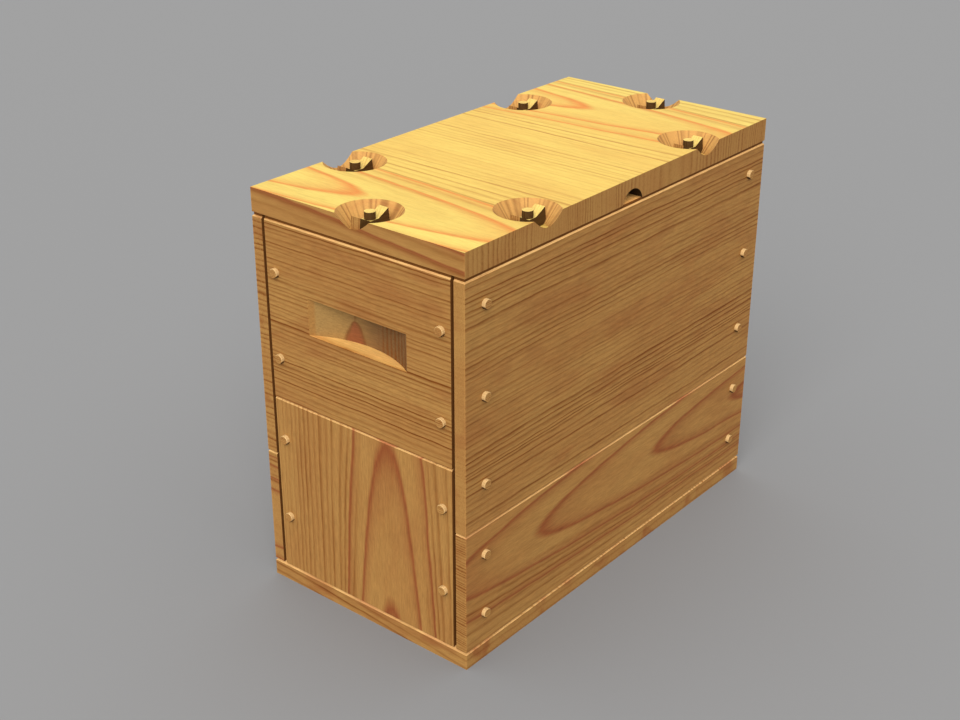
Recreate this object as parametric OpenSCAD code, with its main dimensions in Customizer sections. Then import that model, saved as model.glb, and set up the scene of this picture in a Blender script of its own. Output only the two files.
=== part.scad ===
// Pine hive box for a small colony: pegged thick walls, a floor board, a lid held down by
// wing nuts, and hanging frames inside.  Units are millimetres.
// The box stands on its floor board.  Origin: middle of the underside.
// X runs across the box, Y along it, Z up.  Front is -Y, right is +X.

/* [Room] */
// Clear length inside, set by the standard hanging frame
room_len = 466.7; // [462:0.1:472]
// Clear width inside
room_wid = 207.9; // [190:0.1:240]

/* [Boards] */
// Thickness of the wall boards
wall_t = 38.1; // [37:0.1:42]
// Height of the walls, two boards high
wall_h = 419.3; // [400:0.1:440]
// Height of the lower board of a long side
side_low_h = 141.6; // [130:0.1:155]
// Height of the lower board of an end
end_low_h = 212.9; // [200:0.1:225]
// Thickness of the floor board
floor_t = 21.1; // [18:0.1:24]
// Thickness of the lid
lid_t = 26.2; // [25:0.1:30]
// Chamfer along the upper outer edges of the lower wall boards
seam_chamfer = 2.5; // [0.5:0.1:3]
// Chamfer along the upper outer edges of the floor board
floor_chamfer = 3.3; // [0.5:0.1:4]
// Depth of the shadow groove that runs round the walls right under the lid
groove_depth = 1.5; // [0.5:0.1:3]
// Height of that groove above the chamfer at its foot
groove_h = 3.5; // [1:0.1:5]

/* [Corner joints] */
// Tongue of a side board that covers the edge of an end board
tongue_t = 13.7; // [12:0.1:16]
// Open slot between the tongue and the end board
slot_w = 3.8; // [3:0.1:5]

/* [Pegs] */
// Diameter of the wooden pegs
peg_d = 10.6; // [8:0.1:12]
// Length of a peg
peg_len = 70; // [60:1:75]
// Length of a peg that stands proud of the board
peg_proud = 4; // [2:0.1:5]
// Small chamfer round the showing end of a peg
peg_round = 0.5; // [0.2:0.1:1]
// Distance from a peg to the corner of the box
peg_inset = 29.8; // [29:0.1:31]

/* [Hand-holds] */
// Width of a hand-hold
hold_w = 135.9; // [120:0.1:150]
// Height of a hand-hold
hold_h = 40.9; // [35:0.1:45]
// Depth in the middle of its curved back
hold_depth = 19.4; // [16:0.1:21]
// Height of its middle above the ground
hold_z = 342.9; // [325:0.1:350]

/* [Lid fastening] */
// Distance from a stud to the nearer edge of the lid
stud_inset = 25.8; // [25:0.1:27]
// Distance from the middle of the box to a side stud, along the box
side_stud_y = 145.1; // [120:0.1:160]
// Diameter of the studs
stud_d = 6; // [5:0.1:6]
// Radius of a finger recess at the top of the lid
recess_r = 34.4; // [32:0.1:36]
// Radius of its flat floor
recess_floor_r = 20.6; // [20:0.1:22]
// Depth of a finger recess
recess_depth = 19.4; // [18:0.1:20]
// Distance from the middle of a wing nut to the widest point of a wing
wing_reach = 21.5; // [20:0.1:22]
// The same at the tip of a wing
wing_tip = 19.9; // [18:0.1:20.5]
// The same at the foot of a wing
wing_foot = 17.5; // [15:0.1:18]
// Width of a wing
wing_w = 12.4; // [10:0.1:13]
// Height of a wing's tip
wing_h = 18.6; // [16:0.1:19]
// Height of its widest point
wing_waist_h = 4.9; // [4:0.1:6]
// Height of the saddle between wing and hub
wing_saddle_h = 11.4; // [9:0.1:13]
// Diameter of the hub
hub_d = 11.6; // [10.5:0.1:12]
// Height of the hub
hub_h = 19.3; // [18.5:0.1:19.4]

/* [Entrance] */
// Radius of the arched bee entrance under the lid
arch_r = 18.6; // [15:0.1:20]
// Height of the arch above the walls
arch_h = 13.9; // [10:0.1:16]
// How far the arched tunnel runs on over the room
arch_in = 15; // [10:0.5:15]

/* [Frames] */
// Number of hanging frames
frame_count = 5; // [3:1:5]
// Distance between the middles of two frames
frame_pitch = 35.5; // [35.5:0.1:38]
// Length of a top bar with its two lugs
top_bar_len = 482.6; // [480:0.1:483]
// Overall length of a frame below its lugs
frame_len = 447.7; // [440:0.1:450]
// Overall height of a frame
frame_h = 232; // [200:1:250]

/* [Hidden] */
$fn = 96;
eps = 1;

box_len = room_len + 2 * wall_t;
box_wid = room_wid + 2 * wall_t;
wall_top = floor_t + wall_h;
box_top = wall_top + lid_t;
side_seam_z = floor_t + side_low_h;
end_seam_z = floor_t + end_low_h;
end_board_half = box_wid / 2 - tongue_t - slot_w;

// Pegs: a side's lower board has two rows, its upper board three, and an end has four
side_low_peg_first = 35.9;
side_low_peg_pitch = 71.5;
side_up_peg_first = 48.5;
end_peg_first = 66;
peg_pitch = 97.7;
side_peg_z = concat([for (i = [0:1]) floor_t + side_low_peg_first + i * side_low_peg_pitch],
                    [for (i = [0:2]) side_seam_z + side_up_peg_first + i * peg_pitch]);
end_peg_z = [for (i = [0:3]) floor_t + end_peg_first + i * peg_pitch];
peg_x = box_wid / 2 - peg_inset;
peg_y = box_len / 2 - peg_inset;
glue_gap = 0.1;

// Frame lugs hang in a rabbet along the top of each end wall
bee_space = 7;
lug_t = 9.5;
lug_w = 22;
rabbet_depth = 8.9;
rabbet_floor_z = wall_top - bee_space - lug_t;
top_bar_w = 27;
top_bar_t = 19;
end_bar_t = 9.5;
end_bar_w = 34.9;
end_bar_low_w = 28.6;
shoulder_h = 76;
bottom_bar_w = 19;
bottom_bar_t = 9.5;
sheet_t = 2.4;
frame_bottom_z = wall_top - bee_space - frame_h;

// Lid studs
stud_r = stud_d / 2;
stud_depth = 45;
stud_reach = 15.5;
stud_clearance = 0.6;
nut_clearance = 0.06;
nut_bore_h = 16;
recess_floor_z = box_top - recess_depth;
stud_end_y = box_len / 2 - stud_inset;
stud_side_x = box_wid / 2 - stud_inset;
STUDS = [["front", 0, -stud_end_y], ["back", 0, stud_end_y],
         ["right_front", stud_side_x, -side_stud_y], ["right_back", stud_side_x, side_stud_y],
         ["left_front", -stud_side_x, -side_stud_y], ["left_back", -stud_side_x, side_stud_y]];

// Floor screws
screw_r = 2.2;
screw_head_r = 4.6;
screw_head_h = 3.2;
screw_len = 50;
screw_side_x = box_wid / 2 - wall_t / 2;
screw_end_y = box_len / 2 - wall_t / 2;
screw_end_x = 55;
screw_pitch_y = 100;
cross_w = 1.1;
cross_len = 4.6;
cross_depth = 1.6;
SCREWS = concat([for (s = [-1, 1], i = [-2:2]) [s * screw_side_x, i * screw_pitch_y]],
                [for (s = [-1, 1], t = [-1, 1]) [t * screw_end_x, s * screw_end_y]]);

pine = "burlywood";
end_pine = "peru";
lid_pine = "khaki";
peg_wood = "tan";
frame_wood = "wheat";
wax = "gold";
steel = "silver";

function between(list, low, high) = [for (v = list) if (v > low && v < high) v];
function frame_x(i) = (i - (frame_count + 1) / 2) * frame_pitch;

// A bar that takes a chamfer off an edge along Y
module chamfer_cut(len, size) {
    rotate([0, 45, 0]) cube([size * sqrt(2), len, size * sqrt(2)], center = true);
}
// The same with the shadow groove above it
module groove_cut(len) {
    translate([0, 0, -groove_h]) {
        chamfer_cut(len, groove_depth);
        translate([-groove_depth, -len / 2, 0]) cube([2 * groove_depth, len, groove_h + eps]);
    }
}
// What comes off the upper outer edge of a wall board whose top is at this height
module board_edge_cut(len, high) {
    translate([0, 0, high]) if (high < wall_top) chamfer_cut(len, seam_chamfer); else groove_cut(len);
}

// One peg along +Z: its blunt tail is below the board's face at z = 0, its end stands proud
module peg() {
    rotate_extrude() polygon([[0, peg_proud - peg_len], [peg_d / 2, peg_proud - peg_len],
                              [peg_d / 2, peg_proud - peg_round],
                              [peg_d / 2 - peg_round, peg_proud], [0, peg_proud]]);
}
module peg_bore() {
    translate([0, 0, peg_proud - peg_len - eps])
        cylinder(r = peg_d / 2 + glue_gap, h = peg_len);
}
// The bores at the corner of the right side and the front end, for pegs between two heights
module corner_bores(low, high) {
    for (z = between(side_peg_z, low, high))
        translate([box_wid / 2, -peg_y, z]) rotate([0, 90, 0]) peg_bore();
    for (z = between(end_peg_z, low, high))
        translate([peg_x, -box_len / 2, z]) rotate([90, 0, 0]) peg_bore();
}
module both_x() {
    children();
    mirror([1, 0, 0]) children();
}
module both_y() {
    children();
    mirror([0, 1, 0]) children();
}

// A board of the right side: full thickness between the end boards, with a thin tongue over each
module side_board(low, high) {
    half = box_len / 2;
    difference() {
        translate([0, 0, low]) linear_extrude(high - low) polygon([
            [room_wid / 2, -room_len / 2], [box_wid / 2 - tongue_t, -room_len / 2],
            [box_wid / 2 - tongue_t, -half], [box_wid / 2, -half], [box_wid / 2, half],
            [box_wid / 2 - tongue_t, half], [box_wid / 2 - tongue_t, room_len / 2],
            [room_wid / 2, room_len / 2]]);
        translate([box_wid / 2, 0, 0]) board_edge_cut(box_len + eps, high);
        both_y() {
            translate([box_wid / 2, half, 0]) rotate([0, 0, 90]) board_edge_cut(3 * tongue_t, high);
            corner_bores(low, high);
        }
    }
}
module side_lower() {
    difference() {
        side_board(floor_t, side_seam_z);
        screw_bores();
    }
}
module side_upper() {
    difference() {
        side_board(side_seam_z, wall_top);
        stud_bores();
    }
}

// A board of the front end, held between the tongues of the side boards
module end_board(low, high) {
    difference() {
        translate([-end_board_half, -box_len / 2, low]) cube([2 * end_board_half, wall_t, high - low]);
        translate([0, -box_len / 2, 0]) rotate([0, 0, 90]) board_edge_cut(box_wid, high);
        both_x() corner_bores(low, high);
    }
}
module end_lower() {
    difference() {
        end_board(floor_t, end_seam_z);
        screw_bores();
    }
}
module end_upper() {
    difference() {
        end_board(end_seam_z, wall_top);
        hand_hold();
        translate([-room_wid / 2, -room_len / 2 - rabbet_depth, rabbet_floor_z])
            cube([room_wid, rabbet_depth + eps, wall_top - rabbet_floor_z + eps]);
        stud_bores();
    }
}
// Flat above and below, with a back that follows one arc about an upright axis
module hand_hold() {
    back_r = (pow(hold_w / 2, 2) + pow(hold_depth, 2)) / (2 * hold_depth);
    translate([0, hold_depth - box_len / 2 - back_r, hold_z - hold_h / 2])
        cylinder(r = back_r, h = hold_h);
}

module floor_board() {
    color(pine) difference() {
        translate([-box_wid / 2, -box_len / 2, 0]) cube([box_wid, box_len, floor_t]);
        both_x() translate([box_wid / 2, 0, floor_t]) chamfer_cut(box_len + eps, floor_chamfer);
        both_y() translate([0, box_len / 2, floor_t]) rotate([0, 0, 90])
            chamfer_cut(box_wid + eps, floor_chamfer);
        screw_bores();
    }
}
// Countersunk screws driven up through the floor board
module screw() {
    difference() {
        union() {
            cylinder(r = screw_r, h = screw_len);
            cylinder(r1 = screw_head_r, r2 = screw_r, h = screw_head_h);
        }
        for (a = [0, 90]) rotate([0, 0, a])
            cube([cross_len, cross_w, 2 * cross_depth], center = true);
    }
}
module screw_bores() {
    for (p = SCREWS) translate([p[0], p[1], 0]) {
        cylinder(r = screw_r + glue_gap, h = screw_len + eps);
        translate([0, 0, -eps]) cylinder(r = screw_head_r + glue_gap, h = eps);
        cylinder(r1 = screw_head_r + glue_gap, r2 = screw_r + glue_gap, h = screw_head_h);
    }
}
module floor_screws() {
    color(steel) for (p = SCREWS) translate([p[0], p[1], 0]) screw();
}

module right_pegs() {
    color(peg_wood) both_y() for (z = side_peg_z)
        translate([box_wid / 2, -peg_y, z]) rotate([0, 90, 0]) peg();
}
module front_pegs() {
    color(peg_wood) both_x() for (z = end_peg_z)
        translate([peg_x, -box_len / 2, z]) rotate([90, 0, 0]) peg();
}

// Studs that stand up out of the walls
module lid_studs() {
    color(steel) for (s = STUDS) translate([s[1], s[2], wall_top - stud_depth])
        cylinder(r = stud_r, h = recess_floor_z + stud_reach - wall_top + stud_depth);
}
module stud_bores() {
    for (s = STUDS) translate([s[1], s[2], wall_top - stud_depth - eps])
        cylinder(r = stud_r + glue_gap, h = stud_depth + 2 * eps);
}

module lid() {
    color(lid_pine) difference() {
        translate([-box_wid / 2, -box_len / 2, wall_top]) cube([box_wid, box_len, lid_t]);
        for (s = STUDS) translate([s[1], s[2], 0]) finger_recess();
        entrance();
    }
}
// A cone with a flat floor, which runs out through the edge of the lid
module finger_recess() {
    slope = (recess_r - recess_floor_r) / recess_depth;
    translate([0, 0, recess_floor_z])
        cylinder(r1 = recess_floor_r, r2 = recess_r + eps * slope, h = recess_depth + eps);
    translate([0, 0, wall_top - eps]) cylinder(r = stud_r + stud_clearance, h = lid_t);
}
// An arched tunnel over the wall of the right side
module entrance() {
    inner_x = room_wid / 2 - arch_in;
    translate([inner_x, 0, wall_top + arch_h - arch_r]) rotate([0, 90, 0])
        cylinder(r = arch_r, h = box_wid / 2 - inner_x + eps);
}

// Two raised wings along Y and a round hub, bored from below for the stud
module wing_nut(index) {
    color(lid_pine) translate([STUDS[index][1], STUDS[index][2], recess_floor_z]) difference() {
        union() {
            translate([wing_w / 2, 0, 0]) rotate([90, 0, -90]) linear_extrude(wing_w) polygon([
                [-wing_foot, 0], [wing_foot, 0], [wing_reach, wing_waist_h], [wing_tip, wing_h],
                [hub_d / 2, wing_saddle_h], [-hub_d / 2, wing_saddle_h],
                [-wing_tip, wing_h], [-wing_reach, wing_waist_h]]);
            cylinder(r = hub_d / 2, h = hub_h);
        }
        translate([0, 0, -eps]) cylinder(r = stud_r + nut_clearance, h = nut_bore_h + eps);
    }
}

// A frame's top bar: a deep middle between the end bars, and a lug at each end
module top_bar(i) {
    deep_len = frame_len - 2 * end_bar_t;
    color(frame_wood) translate([frame_x(i), 0, wall_top - bee_space]) {
        translate([-top_bar_w / 2, -deep_len / 2, -top_bar_t]) cube([top_bar_w, deep_len, top_bar_t]);
        translate([-top_bar_w / 2, -frame_len / 2, -lug_t]) cube([top_bar_w, frame_len, lug_t]);
        translate([-lug_w / 2, -top_bar_len / 2, -lug_t]) cube([lug_w, top_bar_len, lug_t]);
    }
}
// Two end bars: wide shoulders that space the frames, and a narrower foot notched for the bottom bar
module end_bars(i) {
    top_z = wall_top - bee_space - lug_t;
    wide = end_bar_w / 2;
    narrow = end_bar_low_w / 2;
    notch = bottom_bar_w / 2 + glue_gap;
    taper = wide - narrow;
    color(frame_wood) both_y() translate([frame_x(i), frame_len / 2, 0]) rotate([90, 0, 0])
        linear_extrude(end_bar_t) polygon([
            [-wide, top_z], [-wide, top_z - shoulder_h], [-narrow, top_z - shoulder_h - taper],
            [-narrow, frame_bottom_z], [-notch, frame_bottom_z],
            [-notch, frame_bottom_z + bottom_bar_t], [notch, frame_bottom_z + bottom_bar_t],
            [notch, frame_bottom_z], [narrow, frame_bottom_z],
            [narrow, top_z - shoulder_h - taper], [wide, top_z - shoulder_h], [wide, top_z]]);
}
module bottom_bar(i) {
    color(frame_wood) translate([frame_x(i) - bottom_bar_w / 2, -frame_len / 2, frame_bottom_z])
        cube([bottom_bar_w, frame_len, bottom_bar_t]);
}
// The sheet of wax that the bees build their comb on
module sheet(i) {
    low = frame_bottom_z + bottom_bar_t;
    span = frame_len - 2 * end_bar_t;
    color(wax) translate([frame_x(i) - sheet_t / 2, -span / 2, low])
        cube([sheet_t, span, wall_top - bee_space - top_bar_t - low]);
}

floor_board();
color(pine) side_lower();  // right_side_lower
color(pine) side_upper();  // right_side_upper
color(pine) mirror([1, 0, 0]) side_lower();  // left_side_lower
color(pine) mirror([1, 0, 0]) side_upper();  // left_side_upper
color(end_pine) end_lower();  // front_end_lower
color(end_pine) end_upper();  // front_end_upper
color(end_pine) mirror([0, 1, 0]) end_lower();  // back_end_lower
color(end_pine) mirror([0, 1, 0]) end_upper();  // back_end_upper
right_pegs();
mirror([1, 0, 0]) right_pegs();  // left_pegs
front_pegs();
mirror([0, 1, 0]) front_pegs();  // back_pegs
floor_screws();
lid_studs();
lid();
for (k = [0:len(STUDS) - 1])
    wing_nut(k);
for (i = [1:frame_count]) {
    top_bar(i);
    end_bars(i);
    bottom_bar(i);
    sheet(i);
}
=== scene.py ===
"""Looks of the pine hive box: its boards, pegs, wing nuts, studs and hanging frames."""
import math

import bpy
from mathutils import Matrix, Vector


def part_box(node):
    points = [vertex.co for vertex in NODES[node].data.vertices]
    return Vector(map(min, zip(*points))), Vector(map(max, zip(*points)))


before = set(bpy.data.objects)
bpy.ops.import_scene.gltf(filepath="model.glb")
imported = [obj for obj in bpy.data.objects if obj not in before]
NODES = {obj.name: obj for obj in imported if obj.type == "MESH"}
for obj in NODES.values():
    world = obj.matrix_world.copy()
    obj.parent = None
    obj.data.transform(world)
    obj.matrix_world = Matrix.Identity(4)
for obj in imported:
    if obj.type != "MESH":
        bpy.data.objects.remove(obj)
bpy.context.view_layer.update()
MM = 0.001
WHITE = (1.0, 1.0, 1.0)

# ------------------------------------------------------------------ places taken from the frame


def middle(node, axis):
    """The middle of a CAD node along one axis, 0 to 2."""
    low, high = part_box(node)
    return (low[axis] + high[axis]) / 2


LID_LOW, LID_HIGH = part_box("lid")
WALL_TOP = LID_LOW.z
FLOOR_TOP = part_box("floor_board")[1].z
HALF_WIDTH, HALF_LENGTH = LID_HIGH.x, LID_HIGH.y
SIDE_STUD_X, SIDE_STUD_Y = middle("wing_nut_right_back", 0), middle("wing_nut_right_back", 1)
END_STUD_Y = middle("wing_nut_back", 1)
NUTS = [n for n in NODES if n.startswith("wing_nut_")]
FRAMES = sorted({n.rsplit("_top_bar")[0] for n in NODES if n.endswith("_top_bar")})

# ------------------------------------------------------------------ sizes that repeat the CAD's

WALL = 38.1 * MM                             # thickness of the walls
SIDE_SEAM = FLOOR_TOP + 142 * MM             # where the two boards of a long side meet
END_SEAM = FLOOR_TOP + 213 * MM              # the same at the ends
TONGUE = 13.5 * MM                           # just less than the thickness of a side board's tongue
SLOT_REACH = 18.5 * MM                       # just past the slot beside that tongue, from the box's side
GROOVE_REACH, GROOVE_HEIGHT = 2.5 * MM, 3.4 * MM   # part of the wall that the groove under the lid takes
ARCH_HALF, ARCH_TOP = 18.7 * MM, 14.2 * MM   # half width and height of the entrance
HOLD_Z, HOLD_HALF = 342.9 * MM, 20.5 * MM    # middle and half height of a hand-hold
CELL = 5.3 * MM                              # width of a honeycomb cell
THREAD_PITCH = 1.0 * MM
ROOM_HALF_LENGTH = HALF_LENGTH - WALL


# ------------------------------------------------------------------ shader building

class Shader:
    """A new material and short calls for the nodes that it needs."""

    def __init__(self, name):
        self.material = bpy.data.materials.new(name)
        self.material.use_nodes = True
        self.tree = self.material.node_tree
        self.tree.nodes.clear()

    def node(self, kind, **settings):
        made = self.tree.nodes.new(kind)
        for key, value in settings.items():
            setattr(made, key, value)
        return made

    def feed(self, socket, value):
        """Links the value's socket to this one, or sets a number or an RGB colour on it."""
        if isinstance(value, bpy.types.NodeSocket):
            self.tree.links.new(value, socket)
        else:
            socket.default_value = (*value, 1.0) if isinstance(value, tuple) else value

    def math(self, operation, *values):
        made = self.node("ShaderNodeMath", operation=operation)
        for socket, value in zip(made.inputs, values):
            self.feed(socket, value)
        return made.outputs[0]

    def add(self, a, b):
        return self.math("ADD", a, b)

    def minus(self, a, b):
        return self.math("SUBTRACT", a, b)

    def times(self, product, *factors):
        for factor in factors:
            product = self.math("MULTIPLY", product, factor)
        return product

    def size(self, a):
        """The value without its sign."""
        return self.math("ABSOLUTE", a)

    def over(self, a, b):
        """1 where a is more than b, 0 elsewhere."""
        return self.math("GREATER_THAN", a, b)

    def under(self, a, b):
        """1 where a is less than b, 0 elsewhere."""
        return self.math("LESS_THAN", a, b)

    def remap(self, value, low, high, to_low=0.0, to_high=1.0, smooth=False):
        """The value's way from low to high, as a number from to_low to to_high."""
        made = self.node("ShaderNodeMapRange", interpolation_type="SMOOTHSTEP" if smooth else "LINEAR")
        for socket, number in zip(made.inputs[:5], (value, low, high, to_low, to_high)):
            self.feed(socket, number)
        return made.outputs[0]

    def pick(self, amount, off, on):
        """The number off where the amount is 0, on where it is 1, and in between elsewhere."""
        return self.remap(amount, 0.0, 1.0, off, on)

    def split(self, vector):
        made = self.node("ShaderNodeSeparateXYZ")
        self.feed(made.inputs[0], vector)
        return made.outputs[:3]

    def vector(self, x, y, z):
        made = self.node("ShaderNodeCombineXYZ")
        for socket, value in zip(made.inputs, (x, y, z)):
            self.feed(socket, value)
        return made.outputs[0]

    def noise(self, vector, detail=2.0, roughness=0.5):
        made = self.node("ShaderNodeTexNoise", noise_dimensions="3D")
        self.feed(made.inputs["Vector"], vector)
        made.inputs["Scale"].default_value = 1.0
        made.inputs["Detail"].default_value = detail
        made.inputs["Roughness"].default_value = roughness
        return made.outputs["Fac"]

    def ramp(self, value, stops):
        """A grey level from a value: stops are (position, level) pairs in rising order."""
        made = self.node("ShaderNodeValToRGB")
        elements = made.color_ramp.elements
        while len(elements) < len(stops):
            elements.new(1.0)
        for element, (position, level) in zip(elements, stops):
            element.position = position
            element.color = (level, level, level, 1.0)
        self.feed(made.inputs[0], value)
        return made.outputs[0]

    def blend(self, amount, a, b, mode="MIX"):
        """Colour a, turned into colour b by the amount; with the mode MULTIPLY, into a times b."""
        made = self.node("ShaderNodeMix", data_type="RGBA", blend_type=mode)
        for socket, value in zip((made.inputs[0], made.inputs[6], made.inputs[7]), (amount, a, b)):
            self.feed(socket, value)
        return made.outputs[2]

    def tint(self, colour, level):
        """The colour made darker or paler by a grey level."""
        return self.blend(1.0, colour, self.vector(level, level, level), "MULTIPLY")

    def finish(self, colour, roughness, metallic=0.0, specular=0.5, bump=None, strength=1.0, depth=MM):
        """Joins up the surface and returns its material. A bump of 1 is as high as the depth, in metres."""
        shader = self.node("ShaderNodeBsdfPrincipled")
        self.feed(shader.inputs["Base Color"], colour)
        self.feed(shader.inputs["Roughness"], roughness)
        shader.inputs["Metallic"].default_value = metallic
        shader.inputs["Specular IOR Level"].default_value = specular
        if bump is not None:
            made = self.node("ShaderNodeBump")
            made.inputs["Strength"].default_value = strength
            made.inputs["Distance"].default_value = depth
            self.feed(made.inputs["Height"], bump)
            self.feed(shader.inputs["Normal"], made.outputs[0])
        output = self.node("ShaderNodeOutputMaterial")
        self.tree.links.new(shader.outputs[0], output.inputs["Surface"])
        return self.material


# ------------------------------------------------------------------ pine

EARLY = (0.385, 0.197, 0.054)        # pale wood between the ring lines
WARMTH = (0.94, 0.88, 0.87)          # what warmer patches keep of that colour
LATE = (0.165, 0.043, 0.003)         # ring line
HEART = (0.236, 0.059, 0.017)        # reddish line of an arch
UP_LIGHT = (1.68, 1.72, 1.85)         # painted light: faces that look up are paler
RIM_LIGHT = (1.76, 2.02, 2.65)        # painted light: chamfers are paler and creamier
LID_TOP_LIGHT = (1.66, 2.22, 1.83)        # painted light: the lid's upward face is paler and yellower
NUT_TOP_LIGHT = (1.70, 2.40, 2.35)        # painted light: the wing nuts' upward faces are too
DOWN_SHADE = (0.45, 0.42, 0.40)       # painted shade: faces that look down are darker
SLOT_SHADE = (0.15, 0.054, 0.012)    # painted shade inside the corner slots
GROOVE_SHADE = (0.14, 0.046, 0.006)  # painted shade in the groove under the lid
CORNER_HIGHLIGHT = 1.12                          # painted highlight: how much paler the upright corners of the box are
HIGHLIGHT_FROM, HIGHLIGHT_TO = 1.6 * MM, 0.8 * MM   # how far from a corner that highlight begins, and is full

PINE = {
    "grain": "Y",        # axis that the fibres run along
    "across": "Z",       # axis across the rings on the board's show face
    "face": 0.0,         # where the show face lies on the remaining axis
    "inward": 1,         # way from the show face into the board on that axis
    "centre": 0.0,       # where the log's middle lies on the across axis
    "repeat": 4.0,       # distance to the next such middle, for a glued-up board
    "deep": 0.060,       # how far behind the show face the middle lies, at the tip of the main arch
    "tip": 0.0,          # place of that tip along the grain
    "skew": 0.0,         # how fast the middle drifts sideways along the grain
    "taper": 0.077,      # how fast the middle draws away from the face along the grain
    "marks": (),         # distances along the grain from that tip to the tips of all the reddish arches
    "ring": 0.0062,      # mean distance between two ring lines
    "vary": 0.6,         # how unevenly they are spaced
    "wave": 0.0022,      # how far they wander
    "bands": ((0.0, 1.0), (1.0, 1.0)),   # strength of the lines from one edge of the board to the other
    "span": (-1.0, 1.0),                 # those two edges on the across axis
    "line": 1.0,         # overall strength of the ring lines
    "end_line": 1.0,     # the same on the sawn end
    "end_shift": 0.0,    # moves the lines of the sawn end along the across axis
    "end_count": 1.0,    # how many lines the sawn end shows for each one of the other faces
    "end_band": 0.0,     # least strength of the bands there
    "end_marks": 1.0,    # strength of the arches' lines there
    "end_deep": 1.0,     # share of the middle's depth that counts there; 0 for straight lines
    "slot": None,        # which faces of the corner slots the board has, for their painted shade: on its "tongue" or its "edge"
    "blush": 0.15,       # strength of reddish patches
    "fibre": 0.18,       # strength of the fine fibres
    "seed": 0.0,
    "early": EARLY,      # colour between the lines
    "late": LATE,        # colour of the ring lines on faces that look up
    "heart": HEART,      # colour of the arches there
    "tint": UP_LIGHT,     # painted light: what faces that look up are multiplied by
    "rim": None,         # painted light for chamfers, if it differs from that
    "down": DOWN_SHADE,   # painted shade: what faces that look down are multiplied by
}
NEAR, FAR = 50 * MM, 115 * MM        # the taper dies out between these distances from the middle

# how fast each noise changes along the grain and across it, per metre
DRIFT, WAVER = (5.0, 14.0), (34.0, 60.0)                # slow and quick wander of the rings
STREAK, BLUSH, PATCH = (14.0, 260.0), (11.0, 32.0), (6.0, 22.0)
FIBRE = (70.0, 700.0)

# darkness through one year's growth, and round the line of an arch, in metres from it
RING_STOPS = ((0.0, 0.5), (0.1, 0.05), (0.4, 0.0), (0.65, 0.35), (0.84, 1.0), (0.94, 1.0), (1.0, 0.5))
MARK_STOPS = ((-0.0070, 0.0), (-0.0028, 0.34), (-0.0008, 1.0), (0.0005, 0.0))
MARK_MARGIN = 10 * MM                # room for those stops beyond the first and the last arch


def mark_profile(rings, low, high):
    """Stops of a ramp with one dark band per ring, which fades inwards and ends sharply outwards."""
    stops = [(0.0, 0.0)]
    for ring in sorted(rings):
        stops += [((ring + place - low) / (high - low), level) for place, level in MARK_STOPS]
    return stops


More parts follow.
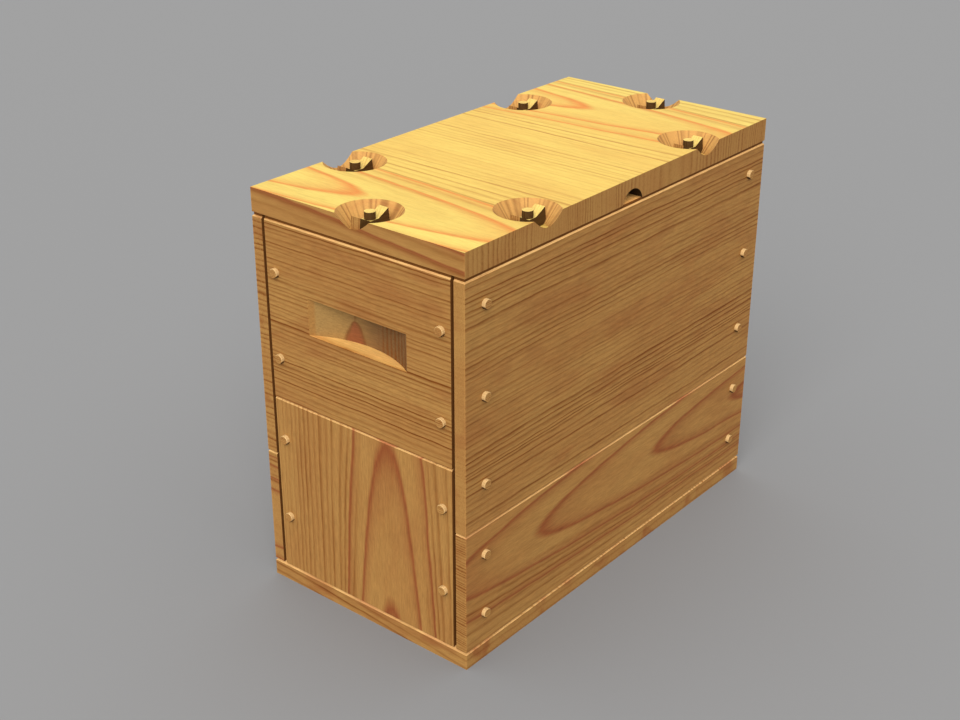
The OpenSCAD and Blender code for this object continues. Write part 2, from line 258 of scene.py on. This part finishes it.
class Pine(Shader):
    """Pine cut from a log: rings round a slanting middle line, which draw nested arches on the show face.

    The changes are the keys of PINE that differ. The colour may be worked over before done() is called.
    """

    def __init__(self, name, **changes):
        super().__init__(name)
        self.wood = {**PINE, **changes}
        grain, across = self.wood["grain"], self.wood["across"]
        coordinates = self.node("ShaderNodeTexCoord")
        self.at = dict(zip("XYZ", self.split(coordinates.outputs["Object"])))
        self.normal = dict(zip("XYZ", self.split(coordinates.outputs["Normal"])))
        self.along, self.across = self.at[grain], self.at[across]
        self.inward = self.at[({"X", "Y", "Z"} - {grain, across}).pop()]
        self.depth = self.times(self.add(self.inward, -self.wood["face"]), self.wood["inward"])
        self.on_end = self.remap(self.size(self.normal[grain]), 0.8, 0.9)
        self.streak = self.grain_noise(STREAK, detail=3.0, roughness=0.6)
        place, radius = self.place_in_log()
        self.lines = self.ring_lines(place, radius)
        self.colour = self.board_colour(radius)

    def grain_noise(self, pace, **settings):
        """Noise drawn out along the grain, from a pair of paces along it and across it."""
        lengthwise, crosswise = pace
        return self.noise(self.vector(self.add(self.times(self.along, lengthwise), self.wood["seed"]),
                                      self.times(self.across, crosswise),
                                      self.times(self.inward, crosswise)), **settings)

    def place_in_log(self):
        """Where a point lies across the rings, and how far it is from the log's middle line."""
        wood = self.wood
        wander = self.add(self.times(self.add(self.grain_noise(DRIFT), -0.5), 3.0 * wood["wave"]),
                          self.times(self.add(self.grain_noise(WAVER), -0.5), wood["wave"]))
        from_tip = self.add(self.along, -wood["tip"])
        place = self.add(self.add(self.across, wander), self.times(self.on_end, wood["end_shift"]))
        place = self.add(place, self.times(from_tip, -wood["skew"]))
        side = self.math("PINGPONG", self.add(place, -wood["centre"]), wood["repeat"] / 2)
        near = self.remap(side, NEAR, FAR, 1.0, 0.1, smooth=True)
        lean = self.times(from_tip, wood["taper"], near)
        sunk = self.times(self.depth, self.pick(self.on_end, 1.0, 0.0))
        below = self.minus(self.add(lean, wood["deep"]), sunk)
        below = self.times(below, self.pick(self.on_end, 1.0, wood["end_deep"]))
        return place, self.math("SQRT", self.add(self.times(side, side), self.times(below, below)))

    def ring_lines(self, place, radius):
        """How dark the ring lines are. They are unevenly spaced and of uneven strength."""
        wood, ring = self.wood, self.wood["ring"]
        uneven = self.noise(self.vector(self.times(radius, 0.35 / ring), wood["seed"], 0.5))
        phase = self.add(self.times(radius, 1.0 / ring), self.times(uneven, 4.0 * wood["vary"]))
        phase = self.times(phase, self.pick(self.on_end, 1.0, wood["end_count"]))
        line = self.ramp(self.math("FRACT", phase), RING_STOPS)
        chance = self.node("ShaderNodeTexWhiteNoise", noise_dimensions="1D")
        self.feed(chance.inputs["W"], self.add(self.math("FLOOR", phase), wood["seed"]))
        weight = self.pick(chance.outputs["Value"], 0.25, 1.0)
        band = self.ramp(self.remap(place, *wood["span"]), wood["bands"])
        on_edge = self.over(self.size(self.normal[wood["across"]]), 0.9)
        band = self.math("MAXIMUM", band, self.times(on_edge, 0.75))
        band = self.math("MAXIMUM", band, self.times(self.on_end, wood["end_band"]))
        return self.times(line, weight, band, self.remap(self.streak, 0.35, 0.6, 0.65, 1.0),
                          self.pick(self.on_end, wood["line"], wood["end_line"]))

    def arch_lines(self, radius):
        """How dark the wide reddish lines are that make the arches."""
        rings = [self.wood["deep"] + self.wood["taper"] * far for far in self.wood["marks"]]
        low, high = min(rings) - MARK_MARGIN, max(rings) + MARK_MARGIN
        rough = self.add(radius, self.times(self.add(self.streak, -0.5), 1.4 * MM))
        marks = self.ramp(self.remap(rough, low, high), mark_profile(rings, low, high))
        return self.times(marks, self.pick(self.on_end, 1.0, self.wood["end_marks"]))

    def board_colour(self, radius):
        """The wood's colour, with patches, streaks, ring lines and arches, painted shade in the corner
        slots and the groove under the lid, and a painted highlight on the upright corners.
        """
        wood = self.wood
        on_top = self.remap(self.normal["Z"], 0.35, 0.9)
        late, heart = self.blend(on_top, LATE, wood["late"]), self.blend(on_top, HEART, wood["heart"])
        warm = tuple(a * b for a, b in zip(wood["early"], WARMTH))
        patch = self.noise(self.vector(self.times(self.along, PATCH[0]), self.times(self.across, PATCH[1]),
                                       self.add(self.times(self.inward, PATCH[1]), wood["seed"])))
        blush = self.grain_noise(BLUSH, detail=3.0)
        colour = self.blend(self.remap(patch, 0.38, 0.62), wood["early"], warm)
        colour = self.blend(self.remap(blush, 0.52, 0.66, 0.0, wood["blush"]), colour, heart)
        colour = self.blend(self.remap(self.streak, 0.5, 0.8, 0.0, 0.2), colour, late)
        colour = self.blend(self.times(self.lines, self.pick(on_top, 1.0, 0.85)), colour, late)
        if wood["marks"]:
            colour = self.blend(self.times(self.arch_lines(radius), 0.93), colour, heart)
        out_x, out_y = self.size(self.at["X"]), self.size(self.at["Y"])
        if wood["slot"]:
            colour = self.shade_gaps(colour, out_x, out_y)
        # painted highlight along the upright corners of the box
        corner = HALF_WIDTH + HALF_LENGTH
        corner_highlight = self.remap(self.add(out_x, out_y), corner - HIGHLIGHT_FROM, corner - HIGHLIGHT_TO)
        return self.tint(colour, self.pick(corner_highlight, 1.0, CORNER_HIGHLIGHT))

    def shade_gaps(self, colour, out_x, out_y):
        """The colour, with painted shade inside the corner slots and in the groove under the lid."""
        # painted shade on the faces inside the corner slots
        if self.wood["slot"] == "edge":
            sideways = self.over(self.size(self.normal["X"]), 0.9)
            inside = self.times(self.over(out_x, HALF_WIDTH - SLOT_REACH), sideways)
        else:
            inside = self.times(self.over(out_y, ROOM_HALF_LENGTH - MM), self.over(self.depth, TONGUE))
        # painted shade on the groove's upright faces under the lid
        outmost = self.math("MAXIMUM", self.add(out_x, HALF_LENGTH - HALF_WIDTH), out_y)
        shaded_groove = self.times(self.over(outmost, HALF_LENGTH - GROOVE_REACH),
                            self.over(self.at["Z"], WALL_TOP - GROOVE_HEIGHT),
                            self.under(self.normal["Z"], 0.5))
        return self.blend(shaded_groove, self.blend(inside, colour, SLOT_SHADE), GROOVE_SHADE)

    def done(self):
        """Adds the fine fibres, the painted light on faces that look up and the painted shade on faces that
        look down, and joins everything up.
        """
        wood, facing = self.wood, self.normal["Z"]
        lengthwise, crosswise = FIBRE
        others = [self.times(self.at[a], crosswise) for a in "XYZ" if a != wood["grain"]]
        fibre_at = self.vector(self.times(self.along, lengthwise), *others)
        fibre = self.noise(fibre_at, detail=3.0, roughness=0.75)
        # painted light: faces that look up, and chamfers, are made paler
        up = self.blend(self.remap(facing, 0.45, 0.70), WHITE, wood["rim"] or wood["tint"])
        up = self.blend(self.remap(facing, 0.85, 0.95), up, wood["tint"])
        # painted shade: faces that look down are made darker
        down = self.blend(self.remap(facing, -0.1, -0.5), WHITE, wood["down"])
        colour = self.blend(1.0, self.blend(1.0, self.colour, up, "MULTIPLY"), down, "MULTIPLY")
        colour = self.tint(colour, self.remap(fibre, 0.3, 0.7, 1.0 - wood["fibre"], 1.0 + wood["fibre"]))
        height = self.add(self.times(fibre, 0.5), self.times(self.lines, -0.5))
        return self.finish(colour, self.pick(self.lines, 0.62, 0.5), specular=0.12,
                           bump=height, strength=0.3, depth=0.3 * MM)


def pine(name, **changes):
    return Pine(name, **changes).done()


def lid_pine(name, **changes):
    """The lid: streaks run down its recesses' walls, both ends of its top get a painted highlight, and
    painted shade darkens its entrance.
    """
    s = Pine(name, **changes)
    x, y, up = s.size(s.at["X"]), s.size(s.at["Y"]), s.normal["Z"]

    # dark streaks, by their turn round the nearest stud
    by_end = s.over(y, (END_STUD_Y + SIDE_STUD_Y) / 2)
    turn = s.math("ARCTAN2", s.add(y, s.pick(by_end, -SIDE_STUD_Y, -END_STUD_Y)),
                  s.add(x, s.pick(by_end, -SIDE_STUD_X, 0.0)))
    uneven = s.noise(s.vector(s.times(turn, 2.2), by_end, 0.0), detail=1.0)
    streak = s.math("FRACT", s.add(s.times(turn, 3.8), s.times(uneven, 4.0)))
    streak = s.ramp(streak, ((0.0, 0.5), (0.15, 0.0), (0.5, 0.05), (0.85, 1.0), (1.0, 0.5)))
    strength = s.remap(s.noise(s.vector(s.times(turn, 1.3), 3.0, by_end)), 0.35, 0.6, 0.25, 0.9)
    wall = s.blend(s.times(streak, strength), (0.42, 0.175, 0.056), (0.15, 0.046, 0.014))
    sloping = s.times(s.remap(up, 0.5, 0.56), s.remap(up, 0.66, 0.60))
    s.colour = s.blend(s.times(sloping, 0.85), s.colour, wall)

    # painted highlight: the lid's top is paler and yellower towards both ends
    end_highlight = s.times(s.remap(y, 0.12, 0.24), s.remap(up, 0.8, 0.95))
    s.colour = s.blend(end_highlight, s.colour, (1.0, 1.10, 1.16), "MULTIPLY")
    # painted shade inside the entrance
    entrance_shade = s.times(s.under(y, ARCH_HALF), s.under(s.at["Z"], LID_LOW.z + ARCH_TOP),
                       s.under(s.size(s.normal["X"]), 0.9))
    s.colour = s.tint(s.colour, s.pick(entrance_shade, 1.0, 0.12))
    return s.done()


def hold_pine(name, **changes):
    """An end board whose hand-hold has a reddish flame, upright lines and painted shade on its back, and
    painted light on its sill.
    """
    s = Pine(name, **changes)
    x, y, z, up = s.at["X"], s.size(s.at["Y"]), s.at["Z"], s.normal["Z"]
    back = s.times(s.under(y, HALF_LENGTH - 0.4 * MM), s.under(s.size(s.add(z, -HOLD_Z)), HOLD_HALF),
                   s.under(s.size(up), 0.5), s.over(s.size(s.normal["Y"]), 0.5))
    fuzz = s.add(s.noise(s.vector(s.times(x, 300.0), 0.0, s.times(z, 60.0))), -0.5)

    # plain wood on one side, darkening towards the other as painted shade, a strip at its very edge, and
    # upright lines on the other side
    ground = s.blend(s.remap(x, -45 * MM, 20 * MM, smooth=True), (0.33, 0.188, 0.058), (0.20, 0.100, 0.036))
    ground = s.blend(s.remap(x, -60 * MM, -62.5 * MM), ground, (0.33, 0.160, 0.042))
    upright = s.math("FRACT", s.add(s.times(x, 140.0), s.times(fuzz, 0.9)))
    upright = s.times(s.ramp(upright, ((0.0, 0.4), (0.2, 0.0), (0.5, 0.1), (0.85, 1.0), (1.0, 0.4))),
                      s.remap(x, 10 * MM, 26 * MM))
    ground = s.blend(s.times(upright, 0.8), ground, s.wood["late"])

    # a flame whose half width grows with the square root of the way down from its tip
    below_tip = s.math("MAXIMUM", s.minus(HOLD_Z + 3 * MM, z), 0.0)
    half_width = s.times(s.math("SQRT", below_tip), 0.085)
    off_middle = s.add(s.size(s.add(x, 18 * MM)), s.times(fuzz, 4 * MM))
    inside = s.minus(half_width, off_middle)
    ground = s.blend(s.remap(inside, -2 * MM, 1 * MM, 0.0, 0.75), ground, (0.17, 0.052, 0.014))
    ground = s.blend(s.remap(inside, 1 * MM, 5 * MM, 0.0, 0.8, smooth=True), ground, (0.26, 0.082, 0.030))

    # painted light: the hand-hold's sill is made paler
    sill_light = s.times(s.over(up, 0.9), s.under(z, HOLD_Z))
    s.colour = s.blend(sill_light, s.blend(back, s.colour, ground), (1.38, 1.64, 1.68), "MULTIPLY")
    return s.done()


def landing_pine(name, **changes):
    """The board under the entrance, with painted light on its top where that lies under the entrance."""
    s = Pine(name, **changes)
    # painted light on the wall's top under the entrance
    landing_light = s.times(s.remap(s.size(s.at["Y"]), ARCH_HALF, 0.4 * ARCH_HALF, smooth=True),
                     s.over(s.at["Z"], WALL_TOP - MM))
    s.colour = s.tint(s.colour, s.pick(landing_light, 1.0, 1.7))
    return s.done()


def nut_pine(name, **changes):
    """Wing nut wood: its upright flanks are darkened as painted shade."""
    s = Pine(name, **changes)
    flank_shade = s.remap(s.size(s.normal["Z"]), 0.03, 0.08, 1.0, 0.0)
    s.colour = s.blend(flank_shade, s.colour, s.tint(s.colour, 0.20))
    return s.done()


def peg_pine(name, **changes):
    """Peg wood: the end is like the boards, the round side gets a painted highlight, and its underside
    painted shade.
    """
    s = Pine(name, **changes)
    side, up = s.remap(s.size(s.normal[s.wood["grain"]]), 0.8, 0.9, 1.0, 0.0), s.normal["Z"]
    s.colour = s.blend(s.times(side, s.remap(up, -0.45, -0.10)), s.colour, PEG_HIGHLIGHT)
    s.colour = s.blend(s.times(side, s.remap(up, -0.20, -0.45)), s.colour, PEG_SHADE)
    return s.done()


def dress(node, material):
    """Gives a CAD node one material."""
    NODES[node].data.materials.clear()
    NODES[node].data.materials.append(material)


# ------------------------------------------------------------------ how each board was cut

FIGURE = (-0.172, 0.0, 0.220, 0.395)          # arches one behind the other
BOARDS = {
    "lid": dict(
        grain="X", across="Y", face=LID_HIGH.z, inward=-1, centre=-HALF_LENGTH + 0.054, repeat=0.391,
        tip=-HALF_WIDTH + 0.106, marks=FIGURE, ring=0.0078, seed=3.0, blush=0.0, fibre=0.10,
        end_shift=0.092, end_line=0.95, end_count=2.0, end_band=0.45, end_marks=0.0,
        late=(0.210, 0.066, 0.010), heart=(0.340, 0.076, 0.017), tint=LID_TOP_LIGHT,
        span=(-HALF_LENGTH, HALF_LENGTH),
        bands=((0.0, 0.15), (0.13, 0.1), (0.17, 0.9), (0.33, 1.0), (0.36, 0.45), (0.45, 0.35), (0.475, 1.0),
               (0.535, 1.0), (0.55, 0.4), (0.6, 0.4), (0.615, 1.0), (0.67, 1.0), (0.69, 0.2), (0.87, 0.3),
               (0.89, 1.0), (1.0, 1.0))),
    "floor_board": dict(
        grain="X", across="Z", face=-HALF_LENGTH, centre=-0.05, ring=0.006, blush=0.6, seed=11.0),
    "right_side_upper": dict(
        face=HALF_WIDTH, inward=-1, centre=-0.06, taper=0.02, ring=0.0056, line=1.2, end_line=0.2,
        blush=0.25, seed=21.0, span=(SIDE_SEAM, WALL_TOP),
        bands=((0.0, 0.9), (0.12, 0.7), (0.2, 1.0), (0.36, 0.9), (0.42, 0.6), (0.6, 0.5), (0.66, 1.0),
               (0.73, 1.0), (0.78, 0.6), (0.85, 1.0), (1.0, 0.8))),
    "right_side_lower": dict(
        face=HALF_WIDTH, inward=-1, centre=0.1118, tip=-HALF_LENGTH + 0.1158, taper=-0.077, skew=0.010,
        marks=(-0.35, -0.172, 0.0, 0.2196, 0.3919), ring=0.0070, seed=31.0,
        end_line=1.8, end_count=2.2, end_band=0.9, end_marks=0.0, end_deep=0.0,
        span=(FLOOR_TOP, SIDE_SEAM), bands=((0.0, 0.8), (0.35, 0.9), (0.45, 0.15), (1.0, 0.1))),
    "left_side_upper": dict(
        face=-HALF_WIDTH, centre=0.62, taper=0.03, ring=0.0062, blush=0.4, seed=41.0),
    "left_side_lower": dict(
        face=-HALF_WIDTH, centre=0.075, tip=HALF_LENGTH - 0.09, marks=FIGURE, ring=0.008, seed=51.0,
        span=(FLOOR_TOP, SIDE_SEAM), bands=((0.0, 0.2), (0.6, 0.2), (0.75, 0.9), (1.0, 0.8))),
    "front_end_upper": dict(
        grain="X", face=-HALF_LENGTH, centre=0.02, taper=0.015, ring=0.0047, line=1.45, blush=0.3,
        seed=61.0, span=(END_SEAM, WALL_TOP),
        bands=((0.0, 1.0), (0.14, 0.9), (0.26, 0.9), (0.32, 1.0), (0.42, 1.0), (0.48, 0.7), (0.76, 0.6),
               (0.8, 0.8), (1.0, 0.8))),
    "front_end_lower": dict(
        grain="Z", across="X", face=-HALF_LENGTH, centre=0.037, tip=0.0417, taper=0.067,
        marks=(0.0, 0.197, 0.405), seed=71.0, span=(-0.125, 0.125),
        bands=((0.0, 0.7), (0.3, 0.95), (0.42, 0.8), (0.5, 0.1), (0.84, 0.1), (0.9, 0.8), (1.0, 0.8))),
    "back_end_upper": dict(
        grain="X", face=HALF_LENGTH, inward=-1, centre=0.66, taper=0.02, ring=0.006, seed=81.0),
    "back_end_lower": dict(
        grain="X", face=HALF_LENGTH, inward=-1, centre=0.12, tip=-0.05, marks=FIGURE, ring=0.0075,
        seed=91.0, span=(FLOOR_TOP, END_SEAM),
        bands=((0.0, 0.9), (0.2, 0.8), (0.3, 0.15), (0.65, 0.15), (0.75, 0.9), (1.0, 0.9))),
}
SPECIAL = {"lid": lid_pine, "front_end_upper": hold_pine, "back_end_upper": hold_pine,
           "right_side_upper": landing_pine}
for board, cut in BOARDS.items():
    if "side" in board:
        cut["slot"] = "tongue"
    if "end" in board:
        cut["slot"] = "edge"
    # painted light on the chamfers of every board but the lid
    if board != "lid":
        cut["rim"] = RIM_LIGHT
    dress(board, SPECIAL.get(board, pine)("pine_" + board, **cut))

# ------------------------------------------------------------------ pegs, nuts, frames

# painted highlight on the pegs' round sides, and painted shade on their undersides
PEG_HIGHLIGHT, PEG_SHADE = (0.60, 0.38, 0.16), (0.05, 0.020, 0.006)
PEG = dict(centre=-0.3, ring=0.0021, wave=0.0004, line=0.5, early=(0.42, 0.22, 0.063),
           tint=WHITE, down=WHITE)
for side in ("right", "left"):
    dress(side + "_pegs", peg_pine("peg_" + side, grain="X", seed=5.0, **PEG))
for end in ("front", "back"):
    dress(end + "_pegs", peg_pine("peg_" + end, seed=7.0, **PEG))

NUT = dict(across="X", centre=-0.5, ring=0.0028, wave=0.0006, line=0.5, tint=NUT_TOP_LIGHT)
for i, nut in enumerate(NUTS):
    dress(nut, nut_pine(nut + "_wood", seed=float(i), **NUT))

# tint is painted light on the bars' upward faces; they also get the painted shade of faces that look down
BAR = dict(ring=0.004, wave=0.001, line=0.5, early=(0.60, 0.40, 0.20), tint=(1.2, 1.3, 1.3))
for i, name in enumerate(FRAMES):
    bars = pine(name + "_pine", centre=-0.2, deep=0.3 + 0.1 * i, seed=13.0 * i, **BAR)
    uprights = pine(name + "_upright_pine", grain="Z", across="X", centre=-0.4, deep=0.2,
                    seed=17.0 * i, **BAR)
    dress(name + "_top_bar", bars)
    dress(name + "_bottom_bar", bars)
    dress(name + "_end_bars", uprights)


# ------------------------------------------------------------------ wax and steel

def beeswax():
    """Pressed wax: a honeycomb of shallow cells."""
    s = Shader("beeswax")
    x, y, z = s.split(s.node("ShaderNodeTexCoord").outputs["Object"])
    comb = 0.0
    for turn in (0, 60, 120):
        along = s.add(s.times(y, math.cos(math.radians(turn))), s.times(z, math.sin(math.radians(turn))))
        comb = s.add(comb, s.math("COSINE", s.times(along, 4 * math.pi / (CELL * math.sqrt(3)))))
    comb = s.remap(comb, -1.5, 3.0)
    cloud = s.noise(s.vector(s.times(x, 30.0), s.times(y, 30.0), s.times(z, 30.0)))
    colour = s.blend(s.remap(comb, 0.1, 0.7), (0.45, 0.22, 0.035), (0.72, 0.44, 0.10))
    colour = s.blend(s.remap(cloud, 0.4, 0.7, 0.0, 0.4), colour, (0.62, 0.34, 0.06))
    return s.finish(colour, 0.42, bump=comb, strength=0.8, depth=1.2 * MM)


def zinc(name, pitch=None):
    """Zinc-plated steel with a faint mottle, and the ridges of a thread where a pitch is given."""
    s = Shader(name)
    x, y, z = s.split(s.node("ShaderNodeTexCoord").outputs["Object"])
    mottle = s.noise(s.vector(s.times(x, 400.0), s.times(y, 400.0), s.times(z, 400.0)), detail=3.0)
    colour = s.blend(mottle, (0.50, 0.50, 0.49), (0.68, 0.68, 0.66))
    height, strength, depth = mottle, 0.2, 0.1 * MM
    if pitch:
        height = s.times(s.math("PINGPONG", z, pitch / 2), 2.0 / pitch)
        strength, depth = 1.0, 0.6 * pitch
        # painted shade in the thread's valleys
        colour = s.tint(colour, s.remap(height, 0.0, 0.5, 0.35, 1.0))
    return s.finish(colour, s.remap(mottle, 0.3, 0.7, 0.28, 0.42), metallic=1.0, bump=height,
                    strength=strength, depth=depth)


wax = beeswax()
for name in FRAMES:
    dress(name + "_sheet", wax)
dress("floor_screws", zinc("zinc"))
dress("lid_studs", zinc("zinc_thread", pitch=THREAD_PITCH))


# ------------------------------------------------------------------ floor, lights, camera

def stage_floor():
    """A wide plain floor under the box."""
    reach = 14.0
    mesh = bpy.data.meshes.new("studio_floor")
    mesh.from_pydata([(-reach, -reach, 0), (reach, -reach, 0), (reach, reach, 0), (-reach, reach, 0)],
                     [], [(0, 1, 2, 3)])
    mesh.materials.append(Shader("studio_grey").finish((0.216, 0.216, 0.216), 0.9, specular=0.05))
    floor = bpy.data.objects.new("studio_floor", mesh)
    bpy.context.scene.collection.objects.link(floor)


def sun(name, towards, level, spread):
    """A soft light from far off: towards points at it, level is the brightness of white card facing it."""
    data = bpy.data.lights.new(name, "SUN")
    data.energy = level * math.pi
    data.angle = math.radians(spread)
    light = bpy.data.objects.new(name, data)
    light.rotation_euler = Vector(towards).to_track_quat("Z", "Y").to_euler()
    bpy.context.scene.collection.objects.link(light)


def studio():
    """Three wide soft lights and an even white surround."""
    sun("top_light", (0.05, -0.12, 1.0), 0.62, 100)
    sun("fill_light", (0.41, -0.70, 0.52), 0.82, 50)
    sun("back_light", (-0.50, 0.62, 0.60), 0.13, 90)
    world = bpy.data.worlds.new("studio")
    bpy.context.scene.world = world
    world.use_nodes = True
    background = world.node_tree.nodes["Background"]
    background.inputs["Color"].default_value = (*WHITE, 1.0)
    background.inputs["Strength"].default_value = 0.5


def camera():
    """Looks down on the corner between the front and the right side."""
    data = bpy.data.cameras.new("camera")
    data.lens = 56.35
    data.sensor_width = 36.0
    eye = bpy.data.objects.new("camera", data)
    eye.location = (0.9593, -1.2407, 0.9728)
    looks = Vector((-0.5725, 0.6944, -0.4359))
    eye.rotation_euler = looks.to_track_quat("-Z", "Y").to_euler()
    bpy.context.scene.collection.objects.link(eye)
    bpy.context.scene.camera = eye


stage_floor()
studio()
camera()
bpy.context.scene.view_settings.view_transform = "Standard"
